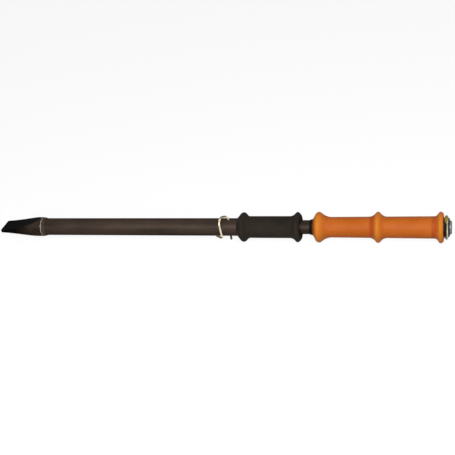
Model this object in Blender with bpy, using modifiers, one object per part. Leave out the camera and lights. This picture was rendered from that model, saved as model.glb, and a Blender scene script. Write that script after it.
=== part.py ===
# Slide hammer splitting tool. A chisel blade is welded to the lower end of a steel tube. A solid
# rod slides in the tube and strikes the blade's shank, driven by the grip on its upper end.
# Units are metres. The tool lies along X with its cutting edge at -X and the rod's end at +X.
# The floor is Z = 0, and the origin is under the middle of the tool's length.

import bmesh
import bpy
from math import atan2, ceil, cos, hypot, pi, radians, sin, tan
from mathutils import Matrix, Vector

# Clearances
SEAT_GAP = 0.0003
RUN_GAP = 0.0003
HOLE_PLAY = 0.0004
SLOT_PLAY = 0.0005
SLOT_END_PLAY = 0.001
LIP_PLAY = 0.0008
OVERCUT = 0.005

# Hammer rod, with a thread at the top and a slot that the lock pin passes through
ROD_D = 0.033
ROD_CHAMFER = 0.0022
STRIKE_CHAMFER = 0.003
THREAD_DEPTH = 0.0006
THREAD_RUN_IN = 0.012
NECK_LENGTH = 0.0209

# Two slide rings in grooves at the rod's lower end
RING_LAND = 0.008
RING_WIDTH = 0.010
RING_SPACE = 0.010
RING_GROOVE_DEPTH = 0.002
RING_SPLIT = 0.003
RING_CHAMFER = 0.0008
SLOT_TO_RING = 0.0105

# Guide bush in the tube's mouth
BUSH_WALL = 0.0015
BUSH_LENGTH = 0.040
BUSH_FLANGE = 0.003
BUSH_CHAMFER = 0.0005

# Guide tube
TUBE_WALL = 0.0026
TUBE_LENGTH = 0.6474
TUBE_CHAMFER = 0.0004

# Chisel blade, forged from round bar with two hollow faces, and its shank in the tube
SHOULDER_STEP = 0.0028
SHOULDER_CHAMFER = 0.0006
BLADE_LENGTH = 0.1097
EDGE_THICKNESS = 0.0062
EDGE_CORNER_R = 0.003
FACE_START_ANGLE = radians(3.5)
FACE_RUN_OUT = 0.0022
SHANK_LENGTH = 0.055
SHANK_CHAMFER = 0.002

# Weld between the blade and the tube
WELD_LENGTH = 0.0105
WELD_TOE = 0.0004
WELD_CROWN = 0.0006

# Lower grip, a rubber sleeve on the tube with a flange at each end and a dished mouth
LOWER_GRIP_LENGTH = 0.1534
LOWER_GRIP_WALL = 0.0045
LOWER_GRIP_EDGE = 0.0008
LOWER_FLANGE_HEIGHT = 0.0094
LOWER_FLANGE_INSET = 0.0142
LOWER_FLANGE_ROUND = 0.0075
MOUTH_FLANGE_INSET = 0.0083
MOUTH_FLANGE_ROUND = 0.0054
MOUTH_RIM_OFFSET = 0.0048
MOUTH_RIM_ROUND = 0.0012
MOUTH_LIP = 0.0034
MOUTH_DISH_DEPTH = 0.0074
MOUTH_DISH_WIDTH = 0.0022

# Upper grip, a moulding on the rod with three flanges
UPPER_GRIP_LENGTH = 0.2976
UPPER_WALL_LOW = 0.0071
UPPER_WALL_HIGH = 0.0087
UPPER_FLANGE_HEIGHT = 0.0108
LOW_FLANGE_INSET = 0.0131
LOW_FLANGE_ROUND = 0.0084
MIDDLE_FLANGE_INSET = 0.1503
MIDDLE_FLANGE_ROUND = 0.006
END_FLANGE_WIDTH = 0.0107
END_FLANGE_ROUND = 0.0055
NOSE_WALL = 0.0011
GRIP_EDGE_R = 0.0006
END_RIM_R = 0.0044

# Flank angles of the flanges, from the tool's axis, and the hollows at their feet
STEEP_FLANK = radians(60)
EASY_FLANK = radians(48)
GENTLE_FLANK = radians(38)
TIGHT_FOOT_R = 0.009
FOOT_R = 0.017
WIDE_FOOT_R = 0.031

# Stop collar and rubber buffer at the upper grip's lower end
COLLAR_WALL = 0.0029
COLLAR_WIDTH = 0.0104
COLLAR_CHAMFER = 0.0006
BUFFER_SHOWING = 0.0084
BUFFER_SEATED = 0.0036
BUFFER_LIP = 0.0005
BUFFER_EDGE_R = 0.0002

# Washer and lock nut on the rod's threaded end. One corner of the hexagon is the turn away
# from upright.
WASHER_WALL = 0.0068
WASHER_T = 0.0017
WASHER_CHAMFER = 0.0003
NUT_ACROSS_FLATS = 0.050
NUT_FACE_INSET = 0.001
NUT_HEX_HEIGHT = 0.0082
NUT_CHAMFER_ANGLE = radians(30)
NUT_TURN = radians(14)
NUT_COLLAR_WALL = 0.0013
NUT_COLLAR_HEIGHT = 0.003
NUT_COLLAR_R = 0.0008
INSERT_WALL = 0.0032
INSERT_T = 0.0024
INSERT_CHAMFER = 0.0003
THREAD_SHOWING = 0.0045

# Bent wire lock pin. The loop lies over the tube, the leg down its front.
WIRE_D = 0.005
PIN_TO_GRIP = 0.0214
PIN_TIP_LENGTH = 0.0123
LOOP_GAP = 0.0046
LOOP_REACH = 0.0205
LOOP_DRIFT = 0.0035
LOOP_BEND_R = 0.007
LOOP_TURN_R = 0.008
LEG_GAP = 0.0009
LEG_TOP = 0.0144
LEG_TOP_REACH = 0.0185
LEG_BEND_R = 0.012
LEG_DROP = 0.0175
LEG_FOOT_REACH = 0.0130
FOOT_LENGTH = 0.0190
FOOT_RISE = 0.0070
FOOT_BEND_R = 0.0035

# Facets round a turned piece, and the largest turn between two points of a curve
TURN_STEPS = 24
CURVE_TURN = radians(25)
WIRE_TURN = radians(15)
FACE_STEPS = 10
HOLE_STEPS = 20
SLOT_END_STEPS = 8
WELD_STEPS = 4
WELD_DISTANCE = 0.00001
SMOOTH_ANGLE = radians(32)
EDGE_SHARE = 0.49

# Radii, from the rod outwards
ROD_R = ROD_D / 2
THREAD_R = ROD_R - THREAD_DEPTH
WIRE_R = WIRE_D / 2
BORE_R = ROD_R + RUN_GAP + BUSH_WALL + SEAT_GAP
TUBE_R = BORE_R + TUBE_WALL
BAR_R = TUBE_R + SHOULDER_STEP
SHANK_R = BORE_R - SEAT_GAP
GROOVE_R = ROD_R - RING_GROOVE_DEPTH
LOWER_GRIP_R = TUBE_R + SEAT_GAP + LOWER_GRIP_WALL
LOWER_FLANGE_R = LOWER_GRIP_R + LOWER_FLANGE_HEIGHT
COLLAR_R = ROD_R + SEAT_GAP + COLLAR_WALL
RECESS_R = COLLAR_R + SEAT_GAP
UPPER_GRIP_LOW_R = ROD_R + SEAT_GAP + UPPER_WALL_LOW
UPPER_GRIP_HIGH_R = ROD_R + SEAT_GAP + UPPER_WALL_HIGH
UPPER_FLANGE_R = UPPER_GRIP_HIGH_R + UPPER_FLANGE_HEIGHT
AXIS_Z = max(UPPER_FLANGE_R, LOWER_FLANGE_R, BAR_R) * cos(pi / TURN_STEPS)

# Stations, measured along the tool from its cutting edge
SHOULDER = BLADE_LENGTH
ANVIL = SHOULDER + SHANK_LENGTH
TUBE_START = SHOULDER + SEAT_GAP
TUBE_END = TUBE_START + TUBE_LENGTH
BUSH_END = TUBE_END + SEAT_GAP + BUSH_FLANGE
GRIP_WALL = BUSH_END + SEAT_GAP
GRIP_LIP = GRIP_WALL + MOUTH_LIP
GRIP_RIM = GRIP_LIP + MOUTH_DISH_DEPTH
LOWER_GRIP_START = GRIP_RIM - LOWER_GRIP_LENGTH
PIN_STATION = LOWER_GRIP_START - PIN_TO_GRIP

ROD_START = ANVIL + SEAT_GAP
BUFFER_START = GRIP_RIM + NECK_LENGTH
UPPER_GRIP_START = BUFFER_START + BUFFER_SHOWING
BUFFER_END = UPPER_GRIP_START + BUFFER_SEATED
COLLAR_START = BUFFER_END + SEAT_GAP
RECESS_FLOOR = COLLAR_START + COLLAR_WIDTH + SEAT_GAP
UPPER_GRIP_END = UPPER_GRIP_START + UPPER_GRIP_LENGTH
WASHER_BASE = UPPER_GRIP_END + SEAT_GAP
NUT_BASE = WASHER_BASE + WASHER_T + SEAT_GAP
NUT_HEX_TOP = NUT_BASE + NUT_HEX_HEIGHT
NUT_TOP = NUT_HEX_TOP + NUT_COLLAR_HEIGHT
ROD_END = NUT_TOP + THREAD_SHOWING

LOW_RING = ROD_START + RING_LAND
HIGH_RING = LOW_RING + RING_WIDTH + RING_SPACE
SLOT_START = HIGH_RING + RING_WIDTH + SLOT_TO_RING
SLOT_END = PIN_STATION + WIRE_R + SLOT_END_PLAY

# The rod rests on the shank, and rises until the slot's lower end meets the pin
TRAVEL = PIN_STATION - WIRE_R - SLOT_END_PLAY - SLOT_START


# Scene, collections and finishes

def clear_scene():
    for item in list(bpy.data.objects):
        bpy.data.objects.remove(item, do_unlink=True)


def new_collection(name):
    group = bpy.data.collections.new(name)
    bpy.context.scene.collection.children.link(group)
    return group


def linear(value):
    share = value / 255
    return share / 12.92 if share <= 0.04045 else ((share + 0.055) / 1.055) ** 2.4


def finish(name, colour, roughness, metallic=0.0):
    made = bpy.data.materials.new(name)
    made.use_nodes = True
    shader = made.node_tree.nodes["Principled BSDF"]
    shader.inputs["Base Color"].default_value = (*[linear(part) for part in colour], 1.0)
    shader.inputs["Roughness"].default_value = roughness
    shader.inputs["Metallic"].default_value = metallic
    made.diffuse_color = (*[linear(part) for part in colour], 1.0)
    return made


# Outlines

def corner(x, height, fillet=0.0):
    return Vector((x, 0, height)), fillet


def rounded(corners, turn=CURVE_TURN):
    # The path through the corners, each rounded by its own fillet radius. A fillet takes up
    # less than half of the edge on either side of it.
    path = []
    for index, (here, fillet) in enumerate(corners):
        if fillet <= 0:
            path.append(here)
            continue
        back = corners[index - 1][0] - here
        ahead = corners[(index + 1) % len(corners)][0] - here
        room = EDGE_SHARE * min(back.length, ahead.length)
        back.normalize()
        ahead.normalize()
        half = back.angle(ahead) / 2
        reach = min(fillet / tan(half), room)
        centre = here + (back + ahead).normalized() * (reach / cos(half))
        spoke = here + back * reach - centre
        sweep = pi - 2 * half
        steps = max(1, ceil(sweep / turn))
        axis = (-back).cross(ahead)
        path += [centre + Matrix.Rotation(sweep * step / steps, 3, axis) @ spoke
                 for step in range(steps + 1)]
    return path


def flange_corner(x, radius, rim_round, flank_before, flank_after):
    # The sharp corner whose rounding by rim_round gives a flange of that radius at x
    centre = radius - rim_round
    before = Vector((x, centre)) + rim_round * Vector((-sin(flank_before), cos(flank_before)))
    after = Vector((x, centre)) + rim_round * Vector((sin(flank_after), cos(flank_after)))
    rise, fall = tan(flank_before), tan(flank_after)
    apex = (after.y - before.y + rise * before.x + fall * after.x) / (rise + fall)
    return corner(apex, before.y + rise * (apex - before.x), rim_round)


def foot_before(flange, radius, flank, fillet):
    # Where the flank that climbs to a flange's corner starts from the grip's body
    apex = flange[0]
    return corner(apex.x - (apex.z - radius) / tan(flank), radius, fillet)


def foot_after(flange, radius, flank, fillet):
    apex = flange[0]
    return corner(apex.x + (apex.z - radius) / tan(flank), radius, fillet)


def flank_end(flange, x, flank, fillet):
    # Where the flank that falls from a flange's corner meets an end face at x
    apex = flange[0]
    return corner(x, apex.z - (x - apex.x) * tan(flank), fillet)


# Solids

def apply_modifiers(item):
    bpy.context.view_layer.update()
    shape = bpy.data.meshes.new_from_object(item.evaluated_get(bpy.context.evaluated_depsgraph_get()))
    item.modifiers.clear()
    item.data = shape
    shape.shade_smooth()
    shape.set_sharp_from_angle(angle=SMOOTH_ANGLE)


def turned(name, path, closed=True):
    # A turned piece: its outline in the XZ plane is spun about the tool's axis, and one of
    # its facets faces straight down
    count = len(path)
    spun = Matrix.Rotation(pi / TURN_STEPS, 3, "X")
    shape = bpy.data.meshes.new(name)
    links = [(index, (index + 1) % count) for index in range(count if closed else count - 1)]
    shape.from_pydata([spun @ point for point in path], links, [])
    item = bpy.data.objects.new(name, shape)
    bpy.context.scene.collection.objects.link(item)
    screw = item.modifiers.new("spin", "SCREW")
    screw.axis = "X"
    screw.angle = 2 * pi
    screw.steps = TURN_STEPS
    screw.render_steps = TURN_STEPS
    screw.use_merge_vertices = True
    screw.merge_threshold = WELD_DISTANCE
    screw.use_normal_flip = True
    apply_modifiers(item)
    return item


def ring(name, start, end, inner, outer, chamfer):
    # A plain turned ring with both outer corners chamfered
    return turned(name, rounded([
        corner(start, inner),
        corner(start, outer - chamfer),
        corner(start + chamfer, outer),
        corner(end - chamfer, outer),
        corner(end, outer - chamfer),
        corner(end, inner)]))


def meshed(curve_item):
    bpy.context.view_layer.update()
    solid = bpy.data.meshes.new_from_object(
        curve_item.evaluated_get(bpy.context.evaluated_depsgraph_get()))
    sheet = bmesh.new()
    sheet.from_mesh(solid)
    bmesh.ops.remove_doubles(sheet, verts=sheet.verts, dist=WELD_DISTANCE)
    bmesh.ops.recalc_face_normals(sheet, faces=sheet.faces)
    sheet.to_mesh(solid)
    sheet.free()
    item = bpy.data.objects.new(curve_item.name, solid)
    item.matrix_world = curve_item.matrix_world
    bpy.context.scene.collection.objects.link(item)
    bpy.data.objects.remove(curve_item, do_unlink=True)
    return item


def slab(name, outline, thickness, place):
    # A flat outline in the XY plane of its place, given half its thickness to each side
    flat = bpy.data.curves.new(name, "CURVE")
    flat.dimensions = "2D"
    flat.fill_mode = "BOTH"
    flat.extrude = thickness / 2
    edge = flat.splines.new("POLY")
    edge.points.add(len(outline) - 1)
    for point, (x, y) in zip(edge.points, outline):
        point.co = (x, y, 0, 1)
    edge.use_cyclic_u = True
    item = bpy.data.objects.new(name, flat)
    bpy.context.scene.collection.objects.link(item)
    item.matrix_world = place
    return meshed(item)


def round_bar(name, radius, length, steps, place):
    # A cylinder or a prism about the Z axis of its place
    shape = bpy.data.meshes.new(name)
    stock = bmesh.new()
    bmesh.ops.create_cone(stock, cap_ends=True, segments=steps, radius1=radius,
                          radius2=radius, depth=length)
    stock.to_mesh(shape)
    stock.free()
    item = bpy.data.objects.new(name, shape)
    bpy.context.scene.collection.objects.link(item)
    item.matrix_world = place
    return item


def cut(item, cutter, operation="DIFFERENCE"):
    boolean = item.modifiers.new(cutter.name, "BOOLEAN")
    boolean.solver = "EXACT"
    boolean.operation = operation
    boolean.object = cutter
    apply_modifiers(item)
    cutter.hide_render = True
    cutter.display_type = "WIRE"
    cutters.append(cutter)


# Blade

def face_outline(side):
    # The space over a hollow face: a shallow arc that leaves the edge at its start angle and
    # runs out on the bar's surface just before the shoulder
    edge = EDGE_THICKNESS / 2
    length = BLADE_LENGTH - FACE_RUN_OUT
    chord_angle = atan2(BAR_R - edge, length)
    hollow_r = hypot(length, BAR_R - edge) / (2 * sin(chord_angle - FACE_START_ANGLE))
    sweep = 2 * (chord_angle - FACE_START_ANGLE)
    angles = [FACE_START_ANGLE + sweep * step / FACE_STEPS for step in range(FACE_STEPS + 1)]
    arc = [(hollow_r * (sin(angle) - sin(FACE_START_ANGLE)),
            edge + hollow_r * (cos(FACE_START_ANGLE) - cos(angle))) for angle in angles]
    outline = [(-OVERCUT, edge)] + arc + [(length, BAR_R + OVERCUT), (-OVERCUT, BAR_R + OVERCUT)]
    return [(x, side * height) for x, height in outline]


def make_blade():
    blade = turned("splitting_blade", rounded([
        corner(0, 0),
        corner(0, BAR_R, EDGE_CORNER_R),
        corner(SHOULDER - SHOULDER_CHAMFER, BAR_R),
        corner(SHOULDER, BAR_R - SHOULDER_CHAMFER),
        corner(SHOULDER, SHANK_R),
        corner(ANVIL - SHANK_CHAMFER, SHANK_R),
        corner(ANVIL, SHANK_R - SHANK_CHAMFER),
        corner(ANVIL, 0)]), closed=False)
    upright = Matrix.Rotation(pi / 2, 4, "X")
    for name, side in (("upper_face_cutter", 1), ("lower_face_cutter", -1)):
        cut(blade, slab(name, face_outline(side), 2 * (BAR_R + OVERCUT), upright))
    return blade


def make_weld():
    # A fillet of weld in the corner between the tube and the blade's shoulder, slightly crowned
    inner = TUBE_R + SEAT_GAP
    start = SHOULDER + SEAT_GAP
    top = Vector((start, 0, BAR_R - SHOULDER_CHAMFER))
    slope = Vector((start + WELD_LENGTH, 0, inner + WELD_TOE)) - top
    out = Vector((-slope.z, 0, slope.x)).normalized()
    crown = [top + slope * step / WELD_STEPS + out * WELD_CROWN * sin(pi * step / WELD_STEPS)
             for step in range(WELD_STEPS + 1)]
    return turned("weld_bead", [Vector((start, 0, inner))] + crown
                  + [Vector((start + WELD_LENGTH, 0, inner))])


# Tube and what is fixed to it

def make_tube():
    tube = turned("guide_tube", rounded([
        corner(TUBE_START, BORE_R),
        corner(TUBE_START, TUBE_R),
        corner(TUBE_END - TUBE_CHAMFER, TUBE_R),
        corner(TUBE_END, TUBE_R - TUBE_CHAMFER),
        corner(TUBE_END, BORE_R + TUBE_CHAMFER),
        corner(TUBE_END - TUBE_CHAMFER, BORE_R)]))
    cut(tube, round_bar("pin_hole_cutter", WIRE_R + HOLE_PLAY, 2 * (TUBE_R + OVERCUT),
                        HOLE_STEPS, Matrix.Translation((PIN_STATION, 0, 0))))
    return tube


def make_bush():
    body = BORE_R - SEAT_GAP
    bore = ROD_R + RUN_GAP
    start = TUBE_END - BUSH_LENGTH
    seat = TUBE_END + SEAT_GAP
    return turned("guide_bush", rounded([
        corner(start, bore + BUSH_CHAMFER),
        corner(start, body - BUSH_CHAMFER),
        corner(start + BUSH_CHAMFER, body),
        corner(seat, body),
        corner(seat, TUBE_R),
        corner(BUSH_END, TUBE_R),
        corner(BUSH_END, bore + BUSH_CHAMFER),
        corner(BUSH_END - BUSH_CHAMFER, bore),
        corner(start + BUSH_CHAMFER, bore)]))


def make_lower_grip():
    inner = TUBE_R + SEAT_GAP
    rim = TUBE_R + MOUTH_RIM_OFFSET
    hole = ROD_R + LIP_PLAY
    low = flange_corner(LOWER_GRIP_START + LOWER_FLANGE_INSET, LOWER_FLANGE_R,
                        LOWER_FLANGE_ROUND, EASY_FLANK, EASY_FLANK)
    high = flange_corner(GRIP_RIM - MOUTH_FLANGE_INSET, LOWER_FLANGE_R,
                         MOUTH_FLANGE_ROUND, EASY_FLANK, EASY_FLANK)
    return turned("lower_grip", rounded([
        corner(LOWER_GRIP_START, inner),
        corner(LOWER_GRIP_START, inner + LOWER_GRIP_EDGE),
        low,
        foot_after(low, LOWER_GRIP_R, EASY_FLANK, TIGHT_FOOT_R),
        foot_before(high, LOWER_GRIP_R, EASY_FLANK, FOOT_R),
        high,
        flank_end(high, GRIP_RIM, EASY_FLANK, MOUTH_RIM_ROUND),
        corner(GRIP_RIM, rim, MOUTH_RIM_ROUND),
        corner(GRIP_LIP, hole + MOUTH_DISH_WIDTH),
        corner(GRIP_LIP, hole),
        corner(GRIP_WALL, hole),
        corner(GRIP_WALL, inner)]))


# Hammer rod and what is fixed to it

def ring_groove(station):
    start = station - SEAT_GAP
    end = station + RING_WIDTH + SEAT_GAP
    return [corner(start, ROD_R), corner(start, GROOVE_R), corner(end, GROOVE_R),
            corner(end, ROD_R)]


def slot_outline():
    # A slot with round ends, long enough for the rod to travel past the pin
    radius = WIRE_R + SLOT_PLAY
    low, high = SLOT_START + radius, SLOT_END - radius
    angles = [pi * step / SLOT_END_STEPS for step in range(SLOT_END_STEPS + 1)]
    return ([(low - radius * sin(angle), radius * cos(angle)) for angle in angles]
            + [(high + radius * sin(angle), -radius * cos(angle)) for angle in angles])


def make_rod():
    thread_start = UPPER_GRIP_END - THREAD_RUN_IN
    rod = turned("hammer_rod", rounded([
        corner(ROD_START, 0),
        corner(ROD_START, ROD_R - STRIKE_CHAMFER),
        corner(ROD_START + STRIKE_CHAMFER, ROD_R),
        *ring_groove(LOW_RING),
        *ring_groove(HIGH_RING),
        corner(thread_start, ROD_R),
        corner(thread_start + THREAD_DEPTH, THREAD_R),
        corner(ROD_END - ROD_CHAMFER, THREAD_R),
        corner(ROD_END, THREAD_R - ROD_CHAMFER),
        corner(ROD_END, 0)]), closed=False)
    cut(rod, slab("slot_cutter", slot_outline(), 2 * (ROD_R + OVERCUT), Matrix.Identity(4)))
    return rod


def make_slide_ring(name, start):
    # The ring is split so that it can be sprung into its groove, and air passes its gap
    end = start + RING_WIDTH
    outer = BORE_R - RUN_GAP
    band = ring(name, start, end, GROOVE_R + SEAT_GAP, outer, RING_CHAMFER)
    half = RING_SPLIT / 2
    low, high = start - OVERCUT, end + OVERCUT
    height = outer + OVERCUT
    cut(band, slab(name + "_split", [(low, -half), (high, -half), (high, half), (low, half)],
                   height, Matrix.Translation((0, 0, height / 2))))
    return band


def make_collar():
    return ring("stop_collar", COLLAR_START, COLLAR_START + COLLAR_WIDTH, ROD_R + SEAT_GAP,
                COLLAR_R, COLLAR_CHAMFER)


def make_buffer():
    inner = ROD_R + SEAT_GAP
    return turned("rubber_buffer", rounded([
        corner(BUFFER_START, inner),
        corner(BUFFER_START, inner + BUFFER_LIP, BUFFER_EDGE_R),
        corner(UPPER_GRIP_START - SEAT_GAP, COLLAR_R),
        corner(BUFFER_END, COLLAR_R),
        corner(BUFFER_END, inner)]))


def make_upper_grip():
    bore = ROD_R + SEAT_GAP
    middle_body = (UPPER_GRIP_LOW_R + UPPER_GRIP_HIGH_R) / 2
    low = flange_corner(UPPER_GRIP_START + LOW_FLANGE_INSET, UPPER_FLANGE_R,
                        LOW_FLANGE_ROUND, STEEP_FLANK, GENTLE_FLANK)
    middle = flange_corner(UPPER_GRIP_START + MIDDLE_FLANGE_INSET, UPPER_FLANGE_R,
                           MIDDLE_FLANGE_ROUND, EASY_FLANK, EASY_FLANK)
    high = corner(UPPER_GRIP_END - END_FLANGE_WIDTH, UPPER_FLANGE_R, END_FLANGE_ROUND)
    return turned("upper_grip", rounded([
        corner(UPPER_GRIP_START, RECESS_R),
        corner(UPPER_GRIP_START, RECESS_R + NOSE_WALL, GRIP_EDGE_R),
        low,
        foot_after(low, UPPER_GRIP_LOW_R, GENTLE_FLANK, WIDE_FOOT_R),
        foot_before(middle, middle_body, EASY_FLANK, FOOT_R),
        middle,
        foot_after(middle, middle_body, EASY_FLANK, FOOT_R),
        foot_before(high, UPPER_GRIP_HIGH_R, STEEP_FLANK, TIGHT_FOOT_R),
        high,
        corner(UPPER_GRIP_END, UPPER_FLANGE_R, END_RIM_R),
        corner(UPPER_GRIP_END, bore),
        corner(RECESS_FLOOR, bore),
        corner(RECESS_FLOOR, RECESS_R)]))


def make_washer():
    inner = THREAD_R + SEAT_GAP
    return ring("end_washer", WASHER_BASE, WASHER_BASE + WASHER_T, inner, inner + WASHER_WALL,
                WASHER_CHAMFER)


def make_nut():
    # A turned blank with chamfered faces and a round collar, then milled to a hexagon
    bore = THREAD_R + SEAT_GAP
    corner_r = NUT_ACROSS_FLATS / 2 / cos(pi / 6)
    face = NUT_ACROSS_FLATS / 2 - NUT_FACE_INSET
    drop = (corner_r - face) * tan(NUT_CHAMFER_ANGLE)
    pocket = bore + INSERT_WALL + SEAT_GAP
    collar = pocket + NUT_COLLAR_WALL
    floor = NUT_TOP - INSERT_T - SEAT_GAP
    nut = turned("lock_nut", rounded([
        corner(NUT_BASE, bore),
        corner(NUT_BASE, face),
        corner(NUT_BASE + drop, corner_r),
        corner(NUT_HEX_TOP - drop, corner_r),
        corner(NUT_HEX_TOP, face),
        corner(NUT_HEX_TOP, collar),
        corner(NUT_TOP, collar, NUT_COLLAR_R),
        corner(NUT_TOP, pocket),
        corner(floor, pocket),
        corner(floor, bore)]))
    place = (Matrix.Translation(((NUT_BASE + NUT_TOP) / 2, 0, 0))
             @ Matrix.Rotation(pi / 2 - NUT_TURN, 4, "X") @ Matrix.Rotation(pi / 2, 4, "Y"))
    cut(nut, round_bar("hexagon_cutter", corner_r, NUT_TOP - NUT_BASE + 2 * OVERCUT, 6, place),
        "INTERSECT")
    return nut


def make_insert():
    inner = THREAD_R + SEAT_GAP
    return ring("nylon_insert", NUT_TOP - INSERT_T, NUT_TOP, inner, inner + INSERT_WALL,
                INSERT_CHAMFER)


# Lock pin

def pin_path():
    # Straight through the tube, over its top, down its front and into a short foot. Below the
    # tube's middle the wire stays in front of the tube, so the pin lifts straight out.
    front = -(TUBE_R + WIRE_R + LEG_GAP)
    top = TUBE_R + WIRE_R + LOOP_GAP
    return rounded([
        (Vector((0, 0, -TUBE_R - PIN_TIP_LENGTH)), 0),
        (Vector((0, 0, top)), LOOP_BEND_R),
        (Vector((-LOOP_REACH, -LOOP_DRIFT, top)), LOOP_TURN_R),
        (Vector((-LEG_TOP_REACH, front, LEG_TOP)), LEG_BEND_R),
        (Vector((-LEG_FOOT_REACH, front, -LEG_DROP)), FOOT_BEND_R),
        (Vector((-LEG_FOOT_REACH - FOOT_LENGTH, front, FOOT_RISE - LEG_DROP)), 0)], WIRE_TURN)


def make_pin():
    wire = bpy.data.curves.new("lock_pin", "CURVE")
    wire.dimensions = "3D"
    wire.bevel_depth = WIRE_R
    wire.bevel_resolution = 2
    wire.use_fill_caps = True
    line = wire.splines.new("POLY")
    path = pin_path()
    line.points.add(len(path) - 1)
    for point, place in zip(line.points, path):
        point.co = (*place, 1)
    item = bpy.data.objects.new("lock_pin", wire)
    bpy.context.scene.collection.objects.link(item)
    return item


# Assembly

def move_to(group, item, anchor):
    for other in list(item.users_collection):
        other.objects.unlink(item)
    group.objects.link(item)
    item.parent = anchor


def add_part(anchor, item, material):
    move_to(parts, item, anchor)
    item.data.materials.clear()
    item.data.materials.append(material)


def new_anchor(name, x):
    anchor = bpy.data.objects.new(name, None)
    anchor.location = (x, 0, AXIS_Z)
    anchor.empty_display_size = BAR_R
    parts.objects.link(anchor)
    return anchor


clear_scene()
parts = new_collection("slide_hammer_splitting_tool")
cutter_group = new_collection("cutters")
cutters = []

edge_x = -ROD_END / 2
tube_anchor = new_anchor("tube_axis", edge_x)
rod_anchor = new_anchor("rod_slide_axis", edge_x)
pin_anchor = new_anchor("lock_pin_axis", edge_x + PIN_STATION)

forged = finish("forged_steel", (46, 44, 42), 0.48, 0.7)
welded = finish("weld_metal", (150, 138, 128), 0.42, 0.8)
browned = finish("browned_steel", (84, 72, 64), 0.42, 0.6)
rubber = finish("black_rubber", (52, 48, 44), 0.72)
nylon = finish("natural_nylon", (214, 208, 190), 0.5)
moulded = finish("orange_moulding", (206, 110, 46), 0.5)
zinc = finish("yellow_zinc", (170, 158, 96), 0.3, 0.9)
bright = finish("bright_steel", (176, 174, 172), 0.3, 0.9)

add_part(tube_anchor, make_blade(), forged)
add_part(tube_anchor, make_weld(), welded)
add_part(tube_anchor, make_tube(), browned)
add_part(tube_anchor, make_bush(), nylon)
add_part(tube_anchor, make_lower_grip(), rubber)

add_part(rod_anchor, make_rod(), browned)
add_part(rod_anchor, make_slide_ring("slide_ring_lower", LOW_RING), nylon)
add_part(rod_anchor, make_slide_ring("slide_ring_upper", HIGH_RING), nylon)
add_part(rod_anchor, make_collar(), bright)
add_part(rod_anchor, make_buffer(), rubber)
add_part(rod_anchor, make_upper_grip(), moulded)
add_part(rod_anchor, make_washer(), zinc)
add_part(rod_anchor, make_nut(), zinc)
add_part(rod_anchor, make_insert(), nylon)

add_part(pin_anchor, make_pin(), zinc)

for cutter in cutters:
    move_to(cutter_group, cutter, tube_anchor)
print("rod travel, mm:", round(TRAVEL * 1000, 3), "axis height:", round(AXIS_Z * 1000, 3),
      "edge:", round(edge_x * 1000, 3), "pin:", round((edge_x + PIN_STATION) * 1000, 3))
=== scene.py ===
from math import atan2, ceil, cos, hypot, pi, radians, sin, tan

import bmesh
import bpy
from mathutils import Matrix, Vector


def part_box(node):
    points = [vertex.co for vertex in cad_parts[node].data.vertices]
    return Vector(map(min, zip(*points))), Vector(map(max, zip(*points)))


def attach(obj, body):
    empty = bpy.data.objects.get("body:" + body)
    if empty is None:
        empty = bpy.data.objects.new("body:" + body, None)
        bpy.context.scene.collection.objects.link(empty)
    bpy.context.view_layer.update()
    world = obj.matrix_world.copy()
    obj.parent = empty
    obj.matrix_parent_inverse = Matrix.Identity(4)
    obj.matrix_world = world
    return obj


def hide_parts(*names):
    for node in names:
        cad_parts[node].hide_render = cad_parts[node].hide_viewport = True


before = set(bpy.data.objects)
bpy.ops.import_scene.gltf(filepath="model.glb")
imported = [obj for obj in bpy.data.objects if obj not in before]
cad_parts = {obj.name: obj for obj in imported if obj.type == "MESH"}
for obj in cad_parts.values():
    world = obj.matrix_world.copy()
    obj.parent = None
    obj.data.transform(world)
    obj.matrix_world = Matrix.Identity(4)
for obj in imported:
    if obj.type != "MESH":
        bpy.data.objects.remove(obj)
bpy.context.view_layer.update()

# Sizes below are in millimetres, along X from the middle of the tool and out from its axis.
mm = 0.001
rodLow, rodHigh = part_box("hammer_rod")
axisHeight = (rodLow.z + rodHigh.z) / 2
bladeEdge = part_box("splitting_blade")[0].x
print("frame loaded, tool's axis", round(axisHeight * 1000, 2), "mm above the floor")


# Small tools for modelling

def selectOnly(piece):
    bpy.ops.object.select_all(action="DESELECT")
    piece.select_set(True)
    bpy.context.view_layer.objects.active = piece


def pick(kind, test):
    # edit mode: select the points, edges or faces that pass the test
    bpy.ops.mesh.select_mode(type=kind)
    bpy.ops.mesh.select_all(action="DESELECT")
    cage = bmesh.from_edit_mesh(bpy.context.object.data)
    for part in {"VERT": cage.verts, "EDGE": cage.edges, "FACE": cage.faces}[kind]:
        if test(part):
            part.select_set(True)
    cage.select_flush_mode()
    bmesh.update_edit_mesh(bpy.context.object.data)


def push(x, y, z):
    bpy.ops.mesh.extrude_region_move(TRANSFORM_OT_translate={"value": (x, y, z)})


def cornerReach(before, here, after, rounding):
    # how far from a corner its rounding starts, and the angle that it turns through
    back, ahead = (before - here), (after - here)
    half = back.angle(ahead) / 2
    return min(rounding / tan(half), 0.49 * min(back.length, ahead.length)), pi - 2 * half


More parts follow.
